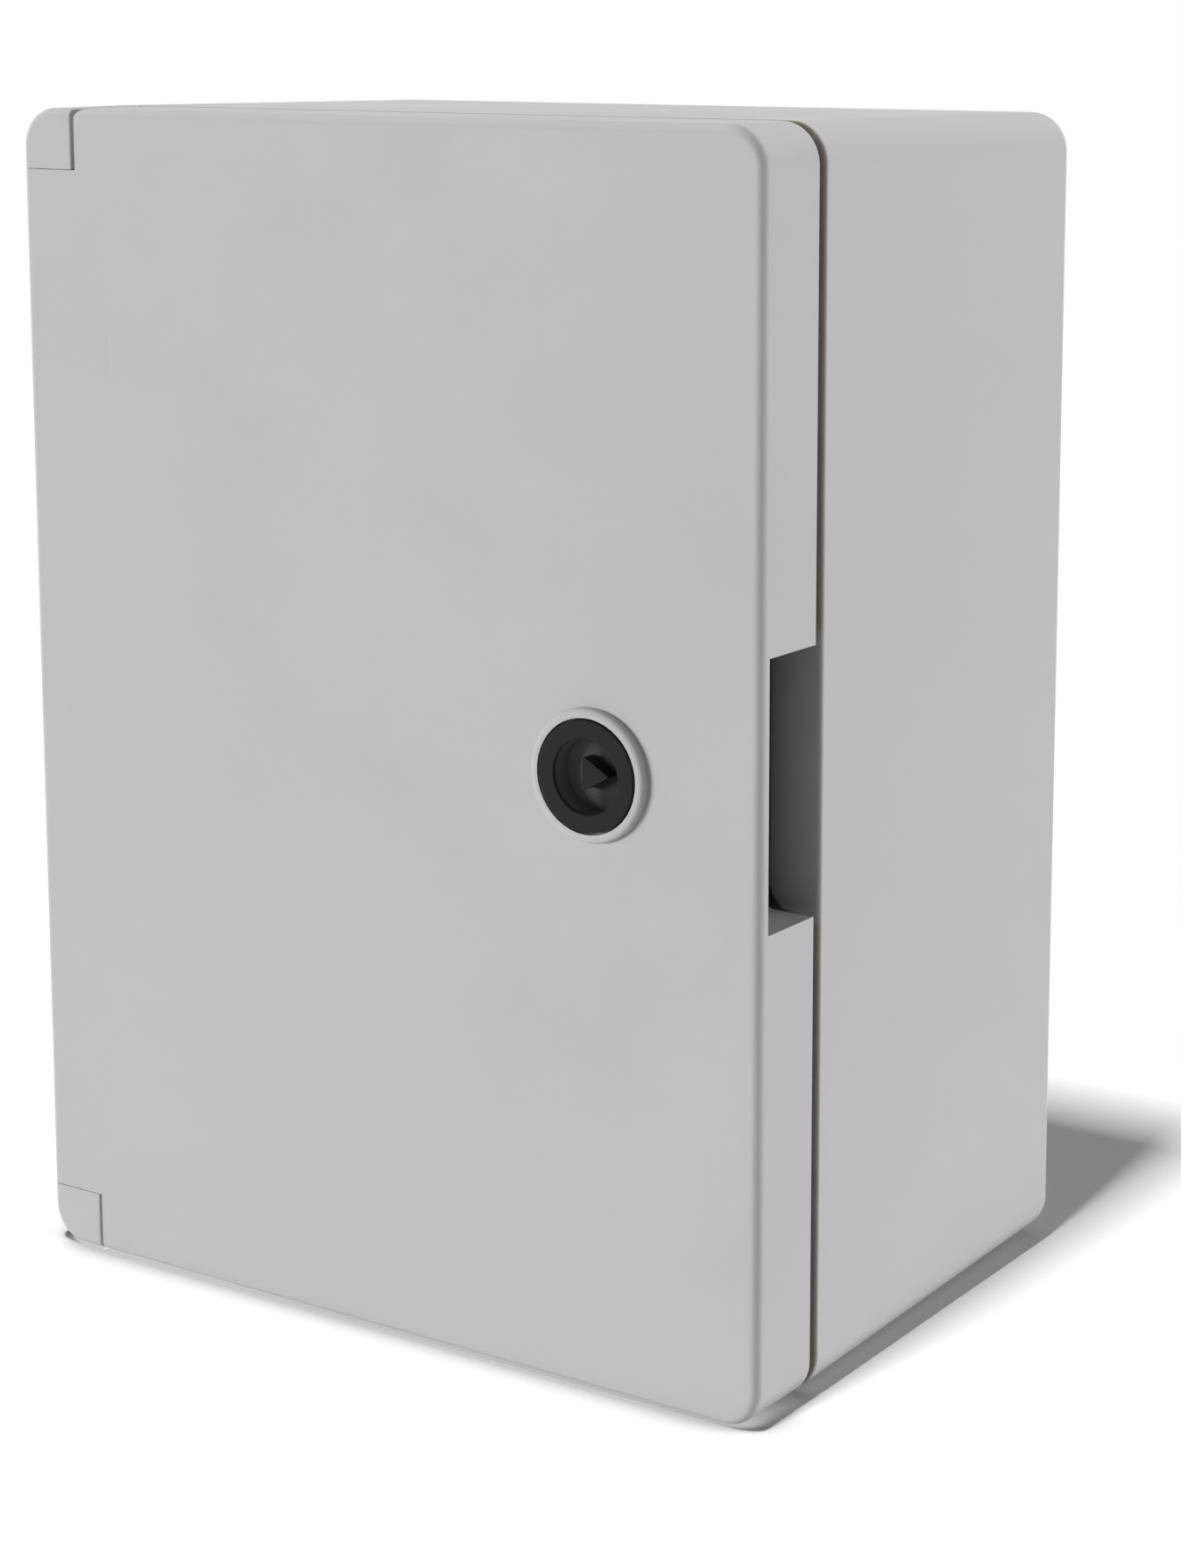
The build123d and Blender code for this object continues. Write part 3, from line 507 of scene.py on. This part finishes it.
# Painted light in the key recess: a paler grey on its floor and its wall, stronger towards the left, where
# the recess lies in shade
recess_painted_fill, given, made = shader_group("recess_painted_fill", {"Reach": RECESS_FILL_REACH}, ("PaintedFill",))
spot, axes = place(recess_painted_fill)
flat = put(recess_painted_fill, "ShaderNodeVectorMath", {0: spot, 1: FACE_ON}, operation="MULTIPLY").outputs[0]
axis = (latch_middle.x, 0.0, latch_middle.z)
off_axis = put(recess_painted_fill, "ShaderNodeVectorMath", {0: flat, 1: axis}, operation="DISTANCE")
from_axis = off_axis.outputs["Value"]
fade = calc(recess_painted_fill, "SUBTRACT", given["Reach"], RECESS_FILL_FADE)
inside = ramp(recess_painted_fill, from_axis, given["Reach"], fade)
on_floor = ramp(recess_painted_fill, axes["Y"], *[latch_low.y + inset for inset in RECESS_FLOOR_SPAN])
under_lip = ramp(recess_painted_fill, axes["Y"], *[latch_low.y + inset for inset in RECESS_LIP_SPAN])
on_wall = times(recess_painted_fill, ramp(recess_painted_fill, from_axis, *RECESS_WALL_SPAN), under_lip)
shaded_side_span = [latch_middle.x + offset for offset in RECESS_SHADED_SIDE_SPAN]
shaded_side = ramp(recess_painted_fill, axes["X"], *shaded_side_span, *RECESS_SHADED_SIDE_SHARE)
sunk = calc(recess_painted_fill, "MAXIMUM", on_floor, on_wall)
feed(recess_painted_fill, times(recess_painted_fill, sunk, inside, shaded_side), made["PaintedFill"])


def black_moulding(name):
    """Matt black plastic: its material, tree and shader, with the height of its grain."""
    material, tree, shader = finish(name)
    skin = use_group(tree, moulded_skin, Grain=LATCH_GRAIN_SCALE, Patch=LATCH_PATCH_SCALE)
    edge = use_group(tree, rubbed_edge, Width=LATCH_EDGE_WIDTH)["Edge"]
    # The key recess is painted a paler grey, a painted light that fills its shade
    painted_tone = use_group(tree, recess_painted_fill, Reach=RECESS_FILL_REACH)["PaintedFill"]
    colour = tint(tree, skin["Patch"], LATCH_BLACK, LATCH_BLACK_PALE)
    colour = tint(tree, times(tree, edge, LATCH_WEAR_SHARE), colour, LATCH_RUBBED)
    feed(tree, tint(tree, painted_tone, colour, RECESS_FILL_GREY), shader.inputs["Base Color"])
    feed(tree, ramp(tree, skin["Patch"], 0.0, 1.0, *LATCH_ROUGHNESS), shader.inputs["Roughness"])
    shader.inputs["Specular IOR Level"].default_value = LATCH_SPECULAR
    return material, tree, shader, skin["Grain"]


housing_black, tree, shader, grain = black_moulding("housing_black")
_, axes = place(tree)
face_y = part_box("latch_seal")[1].y
behind = ramp(tree, axes["Y"], *[face_y + start for start in THREAD_START])
turns = calc(tree, "PINGPONG", axes["Y"], THREAD_PITCH / 2)
thread = times(tree, calc(tree, "DIVIDE", turns, THREAD_PITCH), behind)
ridged = calc(tree, "ADD", thread, times(tree, grain, HOUSING_GRAIN_SHARE))
emboss(tree, shader, ridged, THREAD_DEPTH)
dress(housing_black, "latch_housing")

# The barrel is the turning core of the latch, in the same black plastic, with a triangular post
# for the key. The nut that clamps the housing to the door is moulded from it too.
BARREL_GRAIN_DEPTH = 0.00003

barrel_black, tree, shader, grain = black_moulding("barrel_black")
emboss(tree, shader, grain, BARREL_GRAIN_DEPTH)
dress(barrel_black, "latch_barrel", "latch_nut")

# The flat seal under the latch flange and the ring on the barrel are black rubber, which keeps
# water out. They were pressed in a mould, and have a thin grey bloom.
RUBBER_BLACK = (0.012, 0.012, 0.012, 1.0)
RUBBER_BLOOM = (0.03, 0.03, 0.031, 1.0)
RUBBER_ROUGHNESS = (0.55, 0.75)
BLOOM_SCALE = 300.0
BLOOM_DETAIL = 4.0
BLOOM_SPAN = (0.35, 0.7)
BLOOM_GLOSS_SPAN = (0.3, 0.7)

soft_rubber, tree, shader = finish("soft_rubber")
spot, _ = place(tree)
bloom = mottle(tree, spot, BLOOM_SCALE, BLOOM_DETAIL)
colour = tint(tree, ramp(tree, bloom, *BLOOM_SPAN), RUBBER_BLACK, RUBBER_BLOOM)
feed(tree, colour, shader.inputs["Base Color"])
feed(tree, ramp(tree, bloom, *BLOOM_GLOSS_SPAN, *RUBBER_ROUGHNESS), shader.inputs["Roughness"])
dress(soft_rubber, "latch_seal", "barrel_o_ring")

# The cam is a flat tongue stamped from steel strip and zinc plated, held on the barrel's square by
# a washer and a hexagon screw.
dress(zinc_plate, "latch_cam", "cam_washer", "cam_screw")

# The floor is a wide pale studio sweep. It takes the shadow of the object near it, has a soft painted
# shade close in front of the object and on its left, glows a little right under those edges, a painted
# light over the dark contact line, and fades to plain white further out.
FLOOR_HALF = 6.0
FLOOR_WHITE = (0.7, 0.7, 0.7, 1.0)
FLOOR_BOUNCE = (0.3, 0.3, 0.3, 1.0)
FLOOR_ROUGHNESS = 0.9
CONTACT_REACH = 0.028
CONTACT_SAMPLES = 16
CONTACT_SHADE = (0.3, 0.3, 0.3, 1.0)
CONTACT_SPAN = (1.0, 0.5)
CONTACT_FALL = 3.0
FRONT_SPAN = (0.01, 0.03)
FRONT_SHARE = (1.0, 0.15)
LEFT_SPAN = (0.03, 0.015)
UNDER_SPAN = (0.5, 0.25)
UNDER_GLOW_SPAN = (-0.15, 0.15)
UNDER_GLOW = (0.55, 0.4)
SHADOW_REACH = (0.42, 0.75)

floor_mesh = bpy.data.meshes.new("floor")
floor_corners = ((-1, -1), (1, -1), (1, 1), (-1, 1))
floor_mesh.from_pydata([(x * FLOOR_HALF, y * FLOOR_HALF, 0) for x, y in floor_corners], [], [(0, 1, 2, 3)])
floor = bpy.data.objects.new("floor", floor_mesh)
bpy.context.collection.objects.link(floor)


def seen_rays(tree):
    """Rays that show the background: straight from the camera, or by way of metal or glass."""
    path = put(tree, "ShaderNodeLightPath").outputs
    mirrored = calc(tree, "MAXIMUM", path["Is Glossy Ray"], path["Is Transmission Ray"])
    return calc(tree, "MAXIMUM", path["Is Camera Ray"], mirrored)


floor_paper, tree, shader = finish("floor_paper")
shader.inputs["Roughness"].default_value = FLOOR_ROUGHNESS
shader.inputs["Specular IOR Level"].default_value = 0.0
spot, axes = place(tree)
seen = seen_rays(tree)
near = {"Distance": CONTACT_REACH}
contact = put(tree, "ShaderNodeAmbientOcclusion", near, samples=CONTACT_SAMPLES).outputs["AO"]
front_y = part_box("door_shell")[0].y
before = ramp(tree, axes["Y"], *[front_y + inset for inset in FRONT_SPAN], *FRONT_SHARE)
beside = ramp(tree, axes["X"], *[inset - side_x for inset in LEFT_SPAN])
shaded = calc(tree, "MAXIMUM", before, beside)
# Painted shade: the paper darkens close in front of the object and on its left, where the object hides the
# sky
close = calc(tree, "POWER", ramp(tree, contact, *CONTACT_SPAN), CONTACT_FALL)
paper = tint(tree, times(tree, close, shaded), FLOOR_WHITE, CONTACT_SHADE)
feed(tree, tint(tree, seen, FLOOR_BOUNCE, paper), shader.inputs["Base Color"])
# Painted light: right under the front and left edges the paper glows a little
under = times(tree, ramp(tree, contact, *UNDER_SPAN), shaded)
glow = times(tree, under, ramp(tree, axes["X"], *UNDER_GLOW_SPAN, *UNDER_GLOW), seen)
feed(tree, glow, shader.inputs["Emission Strength"])
plain = put(tree, "ShaderNodeEmission", {"Strength": 1.0})
distance = put(tree, "ShaderNodeVectorMath", {0: spot}, operation="LENGTH").outputs["Value"]
far = times(tree, ramp(tree, distance, *SHADOW_REACH), seen)
shown = put(tree, "ShaderNodeMixShader", {0: far, 1: shader.outputs[0], 2: plain.outputs[0]})
feed(tree, shown.outputs[0], tree.nodes["Material Output"].inputs["Surface"])
floor_mesh.materials.append(floor_paper)

# The light is four soft boxes over a low even fill: one to the left in front, one to the right
# behind, one overhead that leaves out the floor, and one that lights the floor alone and casts the
# object's shadow there.
WORLD_FILL = 0.22
WORLD_WHITE = (1.0, 1.0, 1.0, 1.0)
LAMP_AIM = (0, 0, 0.2)

world = bpy.data.worlds.new("studio")
bpy.context.scene.world = world
world.use_nodes = True
tree = world.node_tree
backdrop = tree.nodes["Background"].inputs
feed(tree, ramp(tree, seen_rays(tree), 0.0, 1.0, WORLD_FILL, 1.0), backdrop["Strength"])
backdrop["Color"].default_value = WORLD_WHITE


def soft_box(name, turn, rise, distance, width, height, watts):
    """A soft box that faces the object, set by its bearing from the front and its rise, in degrees."""
    lamp = bpy.data.lights.new(name, "AREA")
    lamp.shape = "RECTANGLE"
    lamp.size = width
    lamp.size_y = height
    lamp.energy = watts
    stand = bpy.data.objects.new(name, lamp)
    bpy.context.collection.objects.link(stand)
    turn, rise = radians(turn), radians(rise)
    way = Vector((sin(turn) * cos(rise), -cos(turn) * cos(rise), sin(rise)))
    stand.location = Vector(LAMP_AIM) + way * distance
    stand.rotation_euler = way.to_track_quat("Z", "Y").to_euler()
    stand.visible_glossy = False
    return stand


def keep_floor(stand, state):
    """Has a lamp light the floor alone, or all but the floor."""
    lit = bpy.data.collections.new(stand.name + "_lights")
    lit.objects.link(floor)
    lit.collection_objects[0].light_linking.link_state = state
    stand.light_linking.receiver_collection = lit


soft_box("key", turn=-38, rise=3, distance=9.0, width=4.0, height=1.0, watts=735.0)
soft_box("side", turn=126, rise=3, distance=7.0, width=3.1, height=0.7, watts=378.0)
overhead = soft_box("top", turn=-135, rise=75, distance=7.0, width=2.0, height=2.0, watts=262.0)
keep_floor(overhead, "EXCLUDE")
floor_lamp = soft_box("shadow", turn=3, rise=72.5, distance=7.0, width=0.6, height=0.9, watts=640.0)
keep_floor(floor_lamp, "INCLUDE")

# The camera stands about a metre away, to the right of the door and a little above the box. Its
# lens is shifted down, so that the upright edges stay nearly parallel.
IMAGE_HEIGHT = 1789
FOCAL_PIXELS = 3794.1
AXIS_ROW = 620.0
SENSOR_WIDTH = 36.0
CAMERA_SPOT = (0.65516, -0.91799, 0.43738)
CAMERA_TURN = (80.614, 0.153, 34.747)

lens = bpy.data.cameras.new("view")
lens.sensor_width = SENSOR_WIDTH
lens.lens = FOCAL_PIXELS * SENSOR_WIDTH / IMAGE_HEIGHT
lens.shift_y = (AXIS_ROW - IMAGE_HEIGHT / 2) / IMAGE_HEIGHT
camera = bpy.data.objects.new("view", lens)
camera.location = CAMERA_SPOT
camera.rotation_euler = [radians(angle) for angle in CAMERA_TURN]
bpy.context.collection.objects.link(camera)
bpy.context.scene.camera = camera
bpy.context.scene.view_settings.view_transform = "Standard"
